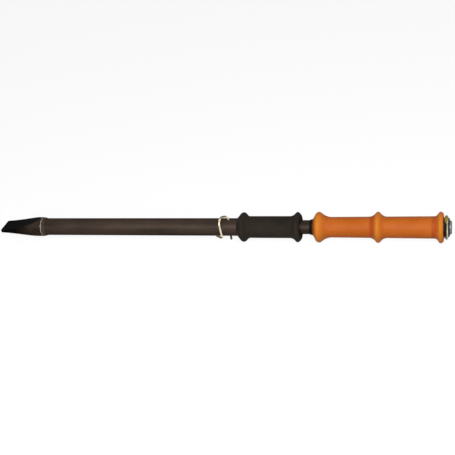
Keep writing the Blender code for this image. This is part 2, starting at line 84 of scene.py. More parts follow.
def turnOnAxis(name, outline, steps=128, closed=True):
    # draws the outline point by point as (x, radius, rounding), rounds its corners and spins it
    places = [Vector((x * mm, 0, axisHeight + radius * mm)) for x, radius, rounding in outline]
    bpy.ops.object.select_all(action="DESELECT")
    bpy.ops.mesh.primitive_plane_add(size=0.001, location=(0, 0, 0))
    piece = bpy.context.object
    piece.name = piece.data.name = name
    bpy.ops.object.mode_set(mode="EDIT")
    bpy.ops.mesh.merge(type="CENTER")
    bpy.ops.transform.translate(value=places[0])
    for last, place in zip(places, places[1:]):
        push(*(place - last))
    bpy.ops.mesh.select_all(action="SELECT")
    bpy.ops.mesh.edge_face_add()
    for index, (x, radius, rounding) in enumerate(outline):
        if rounding:
            here = places[index]
            reach, turn = cornerReach(places[index - 1], here,
                                      places[(index + 1) % len(places)], rounding * mm)
            pick("VERT", lambda point: (point.co - here).length < 1e-6)
            bpy.ops.mesh.bevel(offset=reach, segments=max(2, ceil(turn / radians(7))),
                               affect="VERTICES")
    bpy.ops.mesh.select_all(action="SELECT")
    bpy.ops.mesh.delete(type="ONLY_FACE")
    if not closed:     # the side that lies on the axis isn't spun
        pick("EDGE", lambda edge: all(point.co.z < axisHeight + 1e-7 for point in edge.verts))
        bpy.ops.mesh.delete(type="EDGE")
    bpy.ops.mesh.select_mode(type="VERT")
    bpy.ops.mesh.select_all(action="SELECT")
    bpy.ops.mesh.spin(steps=steps, angle=2 * pi, center=(0, 0, axisHeight), axis=(1, 0, 0))
    bpy.ops.mesh.select_all(action="SELECT")
    bpy.ops.mesh.remove_doubles(threshold=1e-6)
    bpy.ops.mesh.normals_make_consistent(inside=False)
    bpy.ops.object.mode_set(mode="OBJECT")
    return piece


def carve(piece, tool, operation="DIFFERENCE"):
    selectOnly(piece)
    cut = piece.modifiers.new("cut", "BOOLEAN")
    cut.solver = "EXACT"
    cut.operation = operation
    cut.object = tool
    bpy.ops.object.modifier_apply(modifier=cut.name)
    bpy.data.objects.remove(tool, do_unlink=True)


def place(piece, body, material, slot, *nodes, smooth=30):
    # shades a finished piece and seats it on its body in the frame
    selectOnly(piece)
    bpy.ops.object.shade_smooth_by_angle(angle=radians(smooth))
    piece.data.materials.clear()
    piece.data.materials.append(material)
    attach(piece, body)
    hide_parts(*nodes)
    print("placed", piece.name, len(piece.data.polygons), "faces")


# Small tools for materials

def shade(red, green, blue):
    # a colour as it is read on the screen, as the shader takes it
    parts = [value / 255 for value in (red, green, blue)]
    return (*[part / 12.92 if part <= 0.04045 else ((part + 0.055) / 1.055) ** 2.4
              for part in parts], 1)


def addNode(tree, kind, **settings):
    node = tree.nodes.new(kind)
    for key, value in settings.items():
        setattr(node, key, value)
    return node


def join(tree, source, target):
    tree.links.new(source, target)


def newGroup(name, inputs, outputs):
    group = bpy.data.node_groups.new(name, "ShaderNodeTree")
    for label, kind, value in inputs:
        socket = group.interface.new_socket(label, in_out="INPUT", socket_type=kind)
        socket.default_value = value
    for label in outputs:
        group.interface.new_socket(label, in_out="OUTPUT", socket_type="NodeSocketFloat")
    return group, group.nodes.new("NodeGroupInput"), group.nodes.new("NodeGroupOutput")


def useGroup(tree, group, **values):
    node = addNode(tree, "ShaderNodeGroup", node_tree=group)
    for key, value in values.items():
        node.inputs[key].default_value = value
    return node


def math(tree, operation, first, second=None, third=None, clamp=False):
    node = addNode(tree, "ShaderNodeMath", operation=operation, use_clamp=clamp)
    for socket, value in zip(node.inputs, (first, second, third)):
        if value is None:
            continue
        if isinstance(value, (int, float)):
            socket.default_value = value
        else:
            join(tree, value, socket)
    return node.outputs[0]


def between(tree, value, low, high, fromValue=0.0, toValue=1.0):
    # runs from fromValue to toValue as the value goes from low to high
    node = addNode(tree, "ShaderNodeMapRange", interpolation_type="SMOOTHSTEP")
    join(tree, value, node.inputs["Value"])
    node.inputs["From Min"].default_value = low
    node.inputs["From Max"].default_value = high
    node.inputs["To Min"].default_value = fromValue
    node.inputs["To Max"].default_value = toValue
    return node.outputs[0]


def blendColour(tree, mask, first, second, mode="MIX"):
    node = addNode(tree, "ShaderNodeMix", data_type="RGBA", blend_type=mode)
    join(tree, mask, node.inputs[0])
    for socket, value in ((node.inputs[6], first), (node.inputs[7], second)):
        if isinstance(value, tuple):
            socket.default_value = value
        else:
            join(tree, value, socket)
    return node.outputs[2]


def raiseSurface(tree, height, strength, distance, normal=None):
    node = addNode(tree, "ShaderNodeBump")
    node.inputs["Strength"].default_value = strength
    node.inputs["Distance"].default_value = distance
    join(tree, height, node.inputs["Height"])
    if normal is not None:
        join(tree, normal, node.inputs["Normal"])
    return node.outputs[0]


def newMaterial(name, **values):
    material = bpy.data.materials.new(name)
    material.use_nodes = True
    shader = material.node_tree.nodes["Principled BSDF"]
    for key, value in values.items():
        shader.inputs[key.replace("_", " ")].default_value = value
    return material, material.node_tree, shader


# Effects that several materials share

def makeMottleGroup():
    # cloudy tone, stretched along the tool by a scale for each direction
    group, start, end = newGroup(
        "mottle", [("Scale", "NodeSocketFloat", 40.0), ("Stretch", "NodeSocketVector", (1, 1, 1)),
                   ("Detail", "NodeSocketFloat", 5.0)], ["Tone"])
    spot = addNode(group, "ShaderNodeTexCoord")
    turn = addNode(group, "ShaderNodeMapping")
    cloud = addNode(group, "ShaderNodeTexNoise")
    cloud.inputs["Roughness"].default_value = 0.6
    join(group, spot.outputs["Object"], turn.inputs["Vector"])
    join(group, start.outputs["Stretch"], turn.inputs["Scale"])
    join(group, turn.outputs[0], cloud.inputs["Vector"])
    join(group, start.outputs["Scale"], cloud.inputs["Scale"])
    join(group, start.outputs["Detail"], cloud.inputs["Detail"])
    join(group, between(group, cloud.outputs[0], 0.32, 0.68), end.inputs["Tone"])
    return group


def makeWearGroup():
    # 1 along outer edges that get rubbed, broken up by noise
    group, start, end = newGroup(
        "edgeWear", [("Reach", "NodeSocketFloat", 0.0008), ("Breakup", "NodeSocketFloat", 260.0)],
        ["Wear"])
    spot = addNode(group, "ShaderNodeTexCoord")
    face = addNode(group, "ShaderNodeNewGeometry")
    soft = addNode(group, "ShaderNodeBevel", samples=4)
    join(group, start.outputs["Reach"], soft.inputs["Radius"])
    lean = addNode(group, "ShaderNodeVectorMath", operation="DOT_PRODUCT")
    join(group, soft.outputs[0], lean.inputs[0])
    join(group, face.outputs["True Normal"], lean.inputs[1])
    patch = addNode(group, "ShaderNodeTexNoise")
    patch.inputs["Detail"].default_value = 4
    join(group, spot.outputs["Object"], patch.inputs["Vector"])
    join(group, start.outputs["Breakup"], patch.inputs["Scale"])
    edge = between(group, lean.outputs["Value"], 0.99, 0.86)
    join(group, math(group, "MULTIPLY", edge, between(group, patch.outputs[0], 0.35, 0.6)),
         end.inputs["Wear"])
    return group


def makeGrainGroup():
    # the fine skin of a surface: small pits or pebbles
    group, start, end = newGroup(
        "skinGrain", [("Scale", "NodeSocketFloat", 1500.0), ("Pits", "NodeSocketFloat", 0.5)],
        ["Height"])
    spot = addNode(group, "ShaderNodeTexCoord")
    pebble = addNode(group, "ShaderNodeTexVoronoi", feature="SMOOTH_F1")
    pebble.inputs["Smoothness"].default_value = 0.6
    speck = addNode(group, "ShaderNodeTexNoise")
    speck.inputs["Detail"].default_value = 3
    join(group, spot.outputs["Object"], pebble.inputs["Vector"])
    join(group, spot.outputs["Object"], speck.inputs["Vector"])
    join(group, start.outputs["Scale"], pebble.inputs["Scale"])
    join(group, start.outputs["Scale"], speck.inputs["Scale"])
    mixed = addNode(group, "ShaderNodeMix", data_type="FLOAT")
    join(group, start.outputs["Pits"], mixed.inputs[0])
    join(group, speck.outputs[0], mixed.inputs[2])
    join(group, pebble.outputs["Distance"], mixed.inputs[3])
    join(group, mixed.outputs[0], end.inputs["Height"])
    return group


def makeScuffGroup():
    # long faint scratches from handling, most of them along the tool
    group, start, end = newGroup(
        "scuffs", [("Scale", "NodeSocketFloat", 60.0), ("Amount", "NodeSocketFloat", 0.5)],
        ["Scuff"])
    spot = addNode(group, "ShaderNodeTexCoord")
    total = None
    for angle, seed in ((8, 0.0), (-17, 4.7), (71, 9.1)):
        turn = addNode(group, "ShaderNodeMapping")
        turn.inputs["Location"].default_value = (seed, seed, seed)
        turn.inputs["Rotation"].default_value = (0, radians(angle), radians(angle))
        turn.inputs["Scale"].default_value = (0.12, 3.2, 3.2)
        line = addNode(group, "ShaderNodeTexNoise")
        line.inputs["Detail"].default_value = 2
        join(group, spot.outputs["Object"], turn.inputs["Vector"])
        join(group, turn.outputs[0], line.inputs["Vector"])
        join(group, start.outputs["Scale"], line.inputs["Scale"])
        mark = between(group, line.outputs[0], 0.66, 0.74)
        total = mark if total is None else math(group, "ADD", total, mark, clamp=True)
    join(group, math(group, "MULTIPLY", total, start.outputs["Amount"]), end.inputs["Scuff"])
    return group


def makeAlongGroup():
    # where a point is: along the tool, out from its axis, above it and to its side
    group, start, end = newGroup("toolPlace", [], ["Along", "Out", "Height", "Side"])
    spot = addNode(group, "ShaderNodeTexCoord")
    split = addNode(group, "ShaderNodeSeparateXYZ")
    join(group, spot.outputs["Object"], split.inputs[0])
    height = math(group, "SUBTRACT", split.outputs["Z"], axisHeight)
    flat = addNode(group, "ShaderNodeCombineXYZ")
    join(group, split.outputs["Y"], flat.inputs["Y"])
    join(group, height, flat.inputs["Z"])
    size = addNode(group, "ShaderNodeVectorMath", operation="LENGTH")
    join(group, flat.outputs[0], size.inputs[0])
    join(group, split.outputs["X"], end.inputs["Along"])
    join(group, size.outputs["Value"], end.inputs["Out"])
    join(group, height, end.inputs["Height"])
    join(group, split.outputs["Y"], end.inputs["Side"])
    return group


mottle, edgeWear, skinGrain = makeMottleGroup(), makeWearGroup(), makeGrainGroup()
scuffs, toolPlace = makeScuffGroup(), makeAlongGroup()
print("shared effects made")


# Materials

brownedLook = {"deep": (50, 42, 37), "body": (66, 56, 49), "warm": (76, 63, 54),
               "worn": (100, 88, 78), "bare": (158, 157, 161), "bareDeep": (134, 133, 136),
               "metal": 0.7, "edgeTone": 0.25, "roughness": 0.46, "grainDepth": 0.00003,
               "bareFrom": None}


def makeBrownedSteel(name="brownedSteel", look=brownedLook):
    # oiled brown skin with a faint lengthwise draw, worn at its edges; bare where it was machined
    material, tree, shader = newMaterial(name, Metallic=look["metal"], Roughness=look["roughness"])
    shader.inputs["Specular IOR Level"].default_value = 0.04
    shader.inputs["Specular Tint"].default_value = (look["edgeTone"],) * 3 + (1,)
    streak = useGroup(tree, mottle, Scale=55.0, Stretch=(0.16, 1, 1), Detail=6.0)
    cloud = useGroup(tree, mottle, Scale=14.0, Stretch=(0.7, 1, 1), Detail=4.0)
    wear = useGroup(tree, edgeWear, Reach=0.0006)
    scuff = useGroup(tree, scuffs, Scale=55.0, Amount=0.35)
    grain = useGroup(tree, skinGrain, Scale=2400.0, Pits=0.3)
    colour = blendColour(tree, streak.outputs[0], shade(*look["deep"]), shade(*look["body"]))
    warm = math(tree, "MULTIPLY", cloud.outputs[0], 0.5)
    colour = blendColour(tree, warm, colour, shade(*look["warm"]))
    marks = math(tree, "ADD", math(tree, "MULTIPLY", wear.outputs[0], 0.5),
                 math(tree, "MULTIPLY", scuff.outputs[0], 0.25), clamp=True)
    colour = blendColour(tree, marks, colour, shade(*look["worn"]))
    rough = math(tree, "MULTIPLY_ADD", streak.outputs[0], 0.1)
    rough.node.inputs[2].default_value = look["roughness"] - 0.05
    if look["bareFrom"]:
        where = useGroup(tree, toolPlace)
        turned = between(tree, where.outputs["Along"], look["bareFrom"] * mm,
                         (look["bareFrom"] + 0.8) * mm)
        metal = blendColour(tree, cloud.outputs[0], shade(*look["bareDeep"]), shade(*look["bare"]))
        colour = blendColour(tree, turned, colour, metal)
        join(tree, math(tree, "MAXIMUM", turned, look["metal"]), shader.inputs["Metallic"])
        rough = math(tree, "SUBTRACT", rough, math(tree, "MULTIPLY", turned, 0.04))
    join(tree, colour, shader.inputs["Base Color"])
    join(tree, rough, shader.inputs["Roughness"])
    bump = raiseSurface(tree, grain.outputs[0], 0.3, look["grainDepth"])
    join(tree, raiseSurface(tree, streak.outputs[0], 0.25, 0.00006, bump), shader.inputs["Normal"])
    return material


bladeLook = {"ground": (3, 4, 4), "groundLight": (8, 8, 8), "bar": (40, 34, 29),
             "barWarm": (70, 58, 48), "bare": (96, 90, 84)}


def makeForgedSteel():
    # the hollow faces are ground and blackened, the round sides keep the bar's brown skin
    material, tree, shader = newMaterial("forgedSteel", Metallic=0.0, Roughness=0.6)
    shader.inputs["Specular IOR Level"].default_value = 0.01
    where = useGroup(tree, toolPlace)
    cloud = useGroup(tree, mottle, Scale=45.0, Stretch=(0.5, 1, 1), Detail=6.0)
    grind = useGroup(tree, mottle, Scale=120.0, Stretch=(0.25, 3, 1), Detail=3.0)
    wear = useGroup(tree, edgeWear, Reach=0.0007)
    grain = useGroup(tree, skinGrain, Scale=1300.0, Pits=0.5)
    onBar = between(tree, where.outputs["Out"], 0.0235, 0.0239)
    back = between(tree, where.outputs["Along"], bladeEdge + 0.03, bladeEdge + 0.1)
    bar = blendColour(tree, cloud.outputs[0], shade(*bladeLook["bar"]),
                      shade(*bladeLook["barWarm"]))
    dark = math(tree, "MULTIPLY", back, 0.85)
    bar = blendColour(tree, dark, shade(*bladeLook["groundLight"]), bar)
    ground = blendColour(tree, grind.outputs[0], shade(*bladeLook["ground"]),
                         shade(*bladeLook["groundLight"]))
    colour = blendColour(tree, onBar, ground, bar)
    colour = blendColour(tree, math(tree, "MULTIPLY", wear.outputs[0], 0.3), colour,
                         shade(*bladeLook["bare"]))
    join(tree, colour, shader.inputs["Base Color"])
    bump = raiseSurface(tree, grain.outputs[0], 0.35, 0.00008)
    join(tree, raiseSurface(tree, grind.outputs[0], 0.2, 0.00005, bump), shader.inputs["Normal"])
    return material


weldLook = {"crest": (232, 214, 202), "highlightDim": (150, 134, 122), "skin": (80, 67, 58),
            "skinDeep": (62, 52, 45), "highlightTo": -446.6}


def makeWeldSteel():
    # painted highlight: bright along the shoulder, and browned like the tube from there on
    material, tree, shader = newMaterial("weldSteel", Metallic=0.0, Roughness=0.5)
    shader.inputs["Specular IOR Level"].default_value = 0.04
    where = useGroup(tree, toolPlace)
    cloud = useGroup(tree, mottle, Scale=160.0, Stretch=(1, 1, 1), Detail=5.0)
    grain = useGroup(tree, skinGrain, Scale=1800.0, Pits=0.4)
    # painted highlight: the crest colours stand in for light on the bead's shoulder
    colour = blendColour(tree, cloud.outputs[0], shade(*weldLook["highlightDim"]),
                         shade(*weldLook["crest"]))
    highlightEnd = between(tree, where.outputs["Along"], (weldLook["highlightTo"] - 0.5) * mm,
                  (weldLook["highlightTo"] + 0.7) * mm)
    skin = blendColour(tree, cloud.outputs[0], shade(*weldLook["skinDeep"]),
                       shade(*weldLook["skin"]))
    colour = blendColour(tree, highlightEnd, colour, skin)
    join(tree, colour, shader.inputs["Base Color"])
    join(tree, raiseSurface(tree, grain.outputs[0], 0.3, 0.00006), shader.inputs["Normal"])
    return material


def makeRubber(name, deep, body, warm, roughness=0.72, grainScale=1500.0):
    # moulded rubber: matt and pebbled, with cloudy tone, fine dust and greyer edges
    material, tree, shader = newMaterial(name, Roughness=roughness)
    shader.inputs["Specular IOR Level"].default_value = 0.05
    cloud = useGroup(tree, mottle, Scale=30.0, Stretch=(1, 1, 1), Detail=4.0)
    speck = useGroup(tree, mottle, Scale=700.0, Stretch=(1, 1, 1), Detail=2.0)
    wear = useGroup(tree, edgeWear, Reach=0.0012)
    grain = useGroup(tree, skinGrain, Scale=grainScale, Pits=0.7)
    where = useGroup(tree, toolPlace)
    colour = blendColour(tree, cloud.outputs[0], shade(*deep), shade(*body))
    worn = useGroup(tree, mottle, Scale=12.0, Stretch=(0.6, 1, 1), Detail=3.0)
    colour = blendColour(tree, math(tree, "MULTIPLY", worn.outputs[0], 0.5), colour, shade(*warm))
    dust = math(tree, "MULTIPLY", speck.outputs[0], 0.06)
    colour = blendColour(tree, dust, colour, shade(120, 112, 100))
    colour = blendColour(tree, math(tree, "MULTIPLY", wear.outputs[0], 0.25), colour,
                         shade(96, 90, 82))
    join(tree, colour, shader.inputs["Base Color"])
    seam = between(tree, math(tree, "ABSOLUTE", where.outputs["Side"]), 0.0005, 0.0001)
    bump = raiseSurface(tree, grain.outputs[0], 0.35, 0.00012)
    join(tree, raiseSurface(tree, seam, 0.3, 0.00012, bump), shader.inputs["Normal"])
    return material


orangeLook = {"body": (198, 104, 33), "deep": (189, 95, 28), "light": (238, 148, 50),
              "hollow": (178, 72, 26), "scuff": (228, 150, 84), "roughness": 0.5,
              "hollows": ((0.3797, 0.0085), (0.5190, 0.0085))}


def makeOrangeMoulding():
    # satin orange, with a painted sheen that lightens its flanges and painted shade that reddens the
    # hollows beside two of them
    material, tree, shader = newMaterial("orangeMoulding", Roughness=orangeLook["roughness"])
    shader.inputs["Subsurface Weight"].default_value = 0.08
    shader.inputs["Subsurface Radius"].default_value = (0.004, 0.0015, 0.0005)
    shader.inputs["Subsurface Scale"].default_value = 0.5
    shader.inputs["Specular IOR Level"].default_value = 0.12
    where = useGroup(tree, toolPlace)
    cloud = useGroup(tree, mottle, Scale=26.0, Stretch=(0.6, 1, 1), Detail=5.0)
    wear = useGroup(tree, edgeWear, Reach=0.0014, Breakup=180.0)
    scuff = useGroup(tree, scuffs, Scale=70.0, Amount=0.4)
    grain = useGroup(tree, skinGrain, Scale=1700.0, Pits=0.6)
    colour = blendColour(tree, cloud.outputs[0], shade(*orangeLook["deep"]),
                         shade(*orangeLook["body"]))
    # painted sheen: the flanges are lightened towards their rims with the light colour
    flangeSheen = between(tree, where.outputs["Out"], 0.0262, 0.034)
    colour = blendColour(tree, math(tree, "MULTIPLY", flangeSheen, 0.42), colour,
                         shade(*orangeLook["light"]))
    # painted shade: the hollows beside the middle and end flanges are made redder and darker
    hollow = None
    for middle, reach in orangeLook["hollows"]:
        away = math(tree, "ABSOLUTE", math(tree, "SUBTRACT", where.outputs["Along"], middle))
        near = between(tree, away, reach, reach * 0.1)
        hollow = near if hollow is None else math(tree, "ADD", hollow, near, clamp=True)
    colour = blendColour(tree, math(tree, "MULTIPLY", hollow, 0.8), colour,
                         shade(*orangeLook["hollow"]))
    marks = math(tree, "ADD", math(tree, "MULTIPLY", wear.outputs[0], 0.25),
                 math(tree, "MULTIPLY", scuff.outputs[0], 0.2), clamp=True)
    colour = blendColour(tree, marks, colour, shade(*orangeLook["scuff"]))
    join(tree, colour, shader.inputs["Base Color"])
    rough = math(tree, "MULTIPLY_ADD", cloud.outputs[0], 0.08)
    rough.node.inputs[2].default_value = orangeLook["roughness"] - 0.04
    join(tree, rough, shader.inputs["Roughness"])
    seam = between(tree, math(tree, "ABSOLUTE", where.outputs["Side"]), 0.0005, 0.0001)
    bump = raiseSurface(tree, grain.outputs[0], 0.2, 0.00008)
    join(tree, raiseSurface(tree, seam, 0.3, 0.00012, bump), shader.inputs["Normal"])
    return material


def makePlatedSteel(name, light, deep, worn, roughness=0.3, scale=90.0):
    # zinc plate with the cloudy colour of its passivation
    material, tree, shader = newMaterial(name, Metallic=0.9, Roughness=roughness)
    cloud = useGroup(tree, mottle, Scale=scale, Stretch=(1, 1, 1), Detail=5.0)
    wear = useGroup(tree, edgeWear, Reach=0.0005)
    scuff = useGroup(tree, scuffs, Scale=120.0, Amount=0.5)
    grain = useGroup(tree, skinGrain, Scale=2600.0, Pits=0.3)
    colour = blendColour(tree, cloud.outputs[0], shade(*deep), shade(*light))
    marks = math(tree, "ADD", math(tree, "MULTIPLY", wear.outputs[0], 0.7),
                 math(tree, "MULTIPLY", scuff.outputs[0], 0.4), clamp=True)
    colour = blendColour(tree, marks, colour, shade(*worn))
    join(tree, colour, shader.inputs["Base Color"])
    rough = math(tree, "MULTIPLY_ADD", cloud.outputs[0], 0.14)
    rough.node.inputs[2].default_value = roughness - 0.07
    join(tree, rough, shader.inputs["Roughness"])
    join(tree, raiseSurface(tree, grain.outputs[0], 0.2, 0.00004), shader.inputs["Normal"])
    return material


nutLook = {"olive": (168, 148, 74), "oliveDeep": (122, 104, 48), "shadedSides": (44, 35, 29),
           "shadedSidesDeep": (24, 19, 16), "edge": (206, 200, 172), "oliveAbove": 21.5,
           "edgeFrom": 547.8, "edgeTo": 550.9}


def makeNutPlate():
    # yellow plate on the flat that faces up, with painted shade that darkens the sides below it,
    # and bright along the chamfer below that flat
    material, tree, shader = newMaterial("nutPlate", Metallic=0.55, Roughness=0.38)
    shader.inputs["Specular IOR Level"].default_value = 0.1
    where = useGroup(tree, toolPlace)
    cloud = useGroup(tree, mottle, Scale=140.0, Stretch=(1, 1, 1), Detail=5.0)
    patch = useGroup(tree, mottle, Scale=60.0, Stretch=(1, 1, 1), Detail=3.0)
    grain = useGroup(tree, skinGrain, Scale=2600.0, Pits=0.3)
    # painted shade: the sides below the flat that faces up get these dark colours
    shadedSides = blendColour(tree, cloud.outputs[0], shade(*nutLook["shadedSidesDeep"]), shade(*nutLook["shadedSides"]))
    olive = blendColour(tree, cloud.outputs[0], shade(*nutLook["oliveDeep"]),
                        shade(*nutLook["olive"]))
    uneven = math(tree, "MULTIPLY_ADD", patch.outputs[0], 0.003, where.outputs["Height"])
    unshadedTop = math(tree, "MULTIPLY",
                 between(tree, uneven, (nutLook["oliveAbove"] - 1) * mm,
                         (nutLook["oliveAbove"] + 2) * mm),
                 between(tree, where.outputs["Out"], 0.0212, 0.0222))
    colour = blendColour(tree, unshadedTop, shadedSides, olive)
    rim = math(tree, "MULTIPLY",
               between(tree, where.outputs["Along"], nutLook["edgeFrom"] * mm,
                       (nutLook["edgeFrom"] + 0.5) * mm),
               between(tree, where.outputs["Along"], nutLook["edgeTo"] * mm,
                       (nutLook["edgeTo"] - 0.4) * mm))
    rim = math(tree, "MULTIPLY", rim, between(tree, where.outputs["Out"], 0.0225, 0.0235))
    rim = math(tree, "MULTIPLY", rim, between(tree, where.outputs["Height"], 0.0245, 0.0215))
    rim = math(tree, "MULTIPLY", rim, between(tree, cloud.outputs[0], 0.0, 0.6, 0.55, 0.95))
    colour = blendColour(tree, rim, colour, shade(*nutLook["edge"]))
    join(tree, colour, shader.inputs["Base Color"])
    rough = math(tree, "MULTIPLY_ADD", cloud.outputs[0], 0.14, 0.3)
    join(tree, rough, shader.inputs["Roughness"])
    join(tree, raiseSurface(tree, grain.outputs[0], 0.2, 0.00004), shader.inputs["Normal"])
    return material


wireLook = {"bright": (240, 229, 202), "deep": (190, 176, 130), "oliveDark": (46, 40, 19),
            "dark": (74, 66, 40), "oliveDarkBelow": -13.3, "shadowBelow": -21.5, "oliveDarkAbove": 27.8}


def makeWirePlate():
    # plated wire, darker olive on the loop's top and round the foot, with painted shadow on the tip
    # under the tube
    material, tree, shader = newMaterial("wirePlate", Metallic=0.6, Roughness=0.28)
    shader.inputs["Specular IOR Level"].default_value = 0.1
    where = useGroup(tree, toolPlace)
    cloud = useGroup(tree, mottle, Scale=45.0, Stretch=(1, 1, 1), Detail=3.0)
    grain = useGroup(tree, skinGrain, Scale=2600.0, Pits=0.3)
    colour = blendColour(tree, math(tree, "MULTIPLY", cloud.outputs[0], 0.4),
                         shade(*wireLook["bright"]), shade(*wireLook["deep"]))
    height = where.outputs["Height"]
    # the foot rises to its end, so its darker olive follows a line that rises with it
    foot = math(tree, "MULTIPLY_ADD", math(tree, "SUBTRACT", where.outputs["Along"], 0.0257),
                0.5, height)
    oliveDarkMask = math(tree, "MAXIMUM",
                 between(tree, foot, (wireLook["oliveDarkBelow"] + 1.5) * mm,
                         (wireLook["oliveDarkBelow"] - 1.5) * mm),
                 between(tree, height, wireLook["oliveDarkAbove"] * mm,
                         (wireLook["oliveDarkAbove"] + 3) * mm))
    colour = blendColour(tree, math(tree, "MULTIPLY", oliveDarkMask, 0.9), colour,
                         shade(*wireLook["oliveDark"]))
    join(tree, math(tree, "MULTIPLY_ADD", oliveDarkMask, -0.5, 0.6), shader.inputs["Metallic"])
    # painted shadow: the tip below the tube is darkened as if shaded by the tube
    colour = blendColour(tree, between(tree, height, (wireLook["shadowBelow"] + 3) * mm,
                                       (wireLook["shadowBelow"] - 1) * mm),
                         colour, shade(*wireLook["dark"]))
    join(tree, colour, shader.inputs["Base Color"])
    rough = math(tree, "MULTIPLY_ADD", cloud.outputs[0], 0.1, 0.34)
    join(tree, rough, shader.inputs["Roughness"])
    join(tree, raiseSurface(tree, grain.outputs[0], 0.15, 0.00004), shader.inputs["Normal"])
    return material


def makeNylon():
    material, tree, shader = newMaterial("naturalNylon", Roughness=0.45)
    shader.inputs["Subsurface Weight"].default_value = 0.15
    shader.inputs["Subsurface Scale"].default_value = 0.002
    cloud = useGroup(tree, mottle, Scale=120.0, Stretch=(1, 1, 1), Detail=4.0)
    grain = useGroup(tree, skinGrain, Scale=1500.0, Pits=0.4)
    colour = blendColour(tree, cloud.outputs[0], shade(198, 192, 172), shade(222, 216, 198))
    join(tree, colour, shader.inputs["Base Color"])
    join(tree, raiseSurface(tree, grain.outputs[0], 0.2, 0.00004), shader.inputs["Normal"])
    return material


brownedSteel = makeBrownedSteel()
rodSteel = makeBrownedSteel("rodSteel", dict(brownedLook, deep=(42, 35, 31), body=(53, 45, 39),
                                             warm=(60, 50, 43), edgeTone=0.3, bareFrom=531))
forgedSteel, weldSteel = makeForgedSteel(), makeWeldSteel()
gripRubber = makeRubber("gripRubber", (29, 25, 20), (36, 31, 26), (58, 50, 43))
bufferRubber = makeRubber("bufferRubber", (8, 6, 5), (12, 10, 8), (18, 14, 12), 0.7, 1200.0)
orangeMoulding, naturalNylon = makeOrangeMoulding(), makeNylon()
nutPlate, wirePlate = makeNutPlate(), makeWirePlate()
# painted shade: the washer's plate gets dark brown colours for the shaded gap between grip and nut
washerPlate = makePlatedSteel("washerPlate", (66, 56, 44), (44, 37, 30), (90, 80, 64), 0.45)
turnedSteel = makePlatedSteel("turnedSteel", (196, 194, 192), (150, 148, 146),
                              (214, 212, 210), 0.28)
print("materials made")


# Blade: a round bar with two hollow-ground faces, and its shank inside the tube

blade = {"outline": [(-558.35, 0, 0), (-558.35, 24, 3), (-449.25, 24, 0), (-448.65, 23.4, 0),
                     (-448.65, 18.3, 0), (-395.65, 18.3, 0), (-393.65, 16.3, 0), (-393.65, 0, 0)],
         "edge": 6.2, "faceLength": 107.5, "startAngle": 3.5, "radius": 24.0}


def makeBlade():
    piece = turnOnAxis("bladeHead", blade["outline"], steps=192, closed=False)
    rise = blade["radius"] - blade["edge"] / 2
    slope = atan2(rise, blade["faceLength"])
    start = radians(blade["startAngle"])
    hollow = hypot(rise, blade["faceLength"]) / (2 * sin(slope - start))
    for side in (1, -1):
        bpy.ops.object.select_all(action="DESELECT")
        bpy.ops.mesh.primitive_cylinder_add(
            vertices=1440, radius=hollow * mm, depth=0.06, rotation=(pi / 2, 0, 0),
            location=(bladeEdge - hollow * sin(start) * mm, 0,
                      axisHeight + side * (blade["edge"] / 2 + hollow * cos(start)) * mm))
        carve(piece, bpy.context.object)
    return piece


place(makeBlade(), "tube_body", forgedSteel, "forged_steel", "splitting_blade", smooth=12)


# Weld: a rippled bead run round the joint of blade and tube

weld = {"outline": [(-448.35, 21.5, 0), (-448.35, 23.4, 0), (-446.0, 23.7, 1.0),
                    (-443.2, 23.2, 1.5), (-440.4, 22.4, 1.2), (-437.85, 21.75, 0),
                    (-437.85, 21.5, 0)],
        "steps": 300, "ripple": 5, "depth": 0.22, "lead": 2.2}


def makeWeld():
    piece = turnOnAxis("weldRun", weld["outline"], steps=weld["steps"])
    selectOnly(piece)
    bpy.ops.object.mode_set(mode="EDIT")
    pitch = 2 * pi / weld["steps"]

    def stepOf(point):
        return round(atan2(point.co.y, point.co.z - axisHeight) / pitch) % weld["ripple"]

    for step in range(1, weld["ripple"]):     # each ripple swells, then falls to the next
        fall = weld["depth"] * (1 - cos(2 * pi * step / weld["ripple"])) / 2 * mm
        pick("VERT", lambda point: stepOf(point) == step
             and hypot(point.co.y, point.co.z - axisHeight) > 0.0217)
        scale = 1 - fall / (blade["radius"] * mm)
        bpy.ops.transform.resize(value=(1, scale, scale), center_override=(0, 0, axisHeight))
    low, high = weld["outline"][0][0] * mm, weld["outline"][-1][0] * mm
    rows = sorted({round(point.co.x, 6) for point in piece.data.vertices})
    for row in rows:     # the middle of the bead leads its edges, so the ripples are crescents
        share = sin(pi * (row - low) / (high - low))
        pick("VERT", lambda point: abs(point.co.x - row) < 2e-6
             and hypot(point.co.y, point.co.z - axisHeight) > 0.0217)
        bpy.ops.transform.rotate(value=radians(weld["lead"]) * share, orient_axis="X",
                                 center_override=(0, 0, axisHeight))
    bpy.ops.object.mode_set(mode="OBJECT")
    return piece


place(makeWeld(), "tube_body", weldSteel, "weld_metal", "weld_bead", smooth=50)


# Tube, with the hole for the lock pin through both walls

tube = {"outline": [(-448.35, 18.6, 0), (-448.35, 21.2, 0), (199.05, 21.2, 0.4),
                    (199.05, 18.6, 0.4)], "pinHole": (38.65, 2.9)}


def makeTube():
    piece = turnOnAxis("tubeBody", tube["outline"], steps=160)
    bpy.ops.object.select_all(action="DESELECT")
    bpy.ops.mesh.primitive_cylinder_add(vertices=48, radius=tube["pinHole"][1] * mm, depth=0.06,
                                        location=(tube["pinHole"][0] * mm, 0, axisHeight))
    carve(piece, bpy.context.object)
    return piece


place(makeTube(), "tube_body", brownedSteel, "browned_steel", "guide_tube")


# Lower grip: rubber sleeve with a round flange at each end and a dished mouth

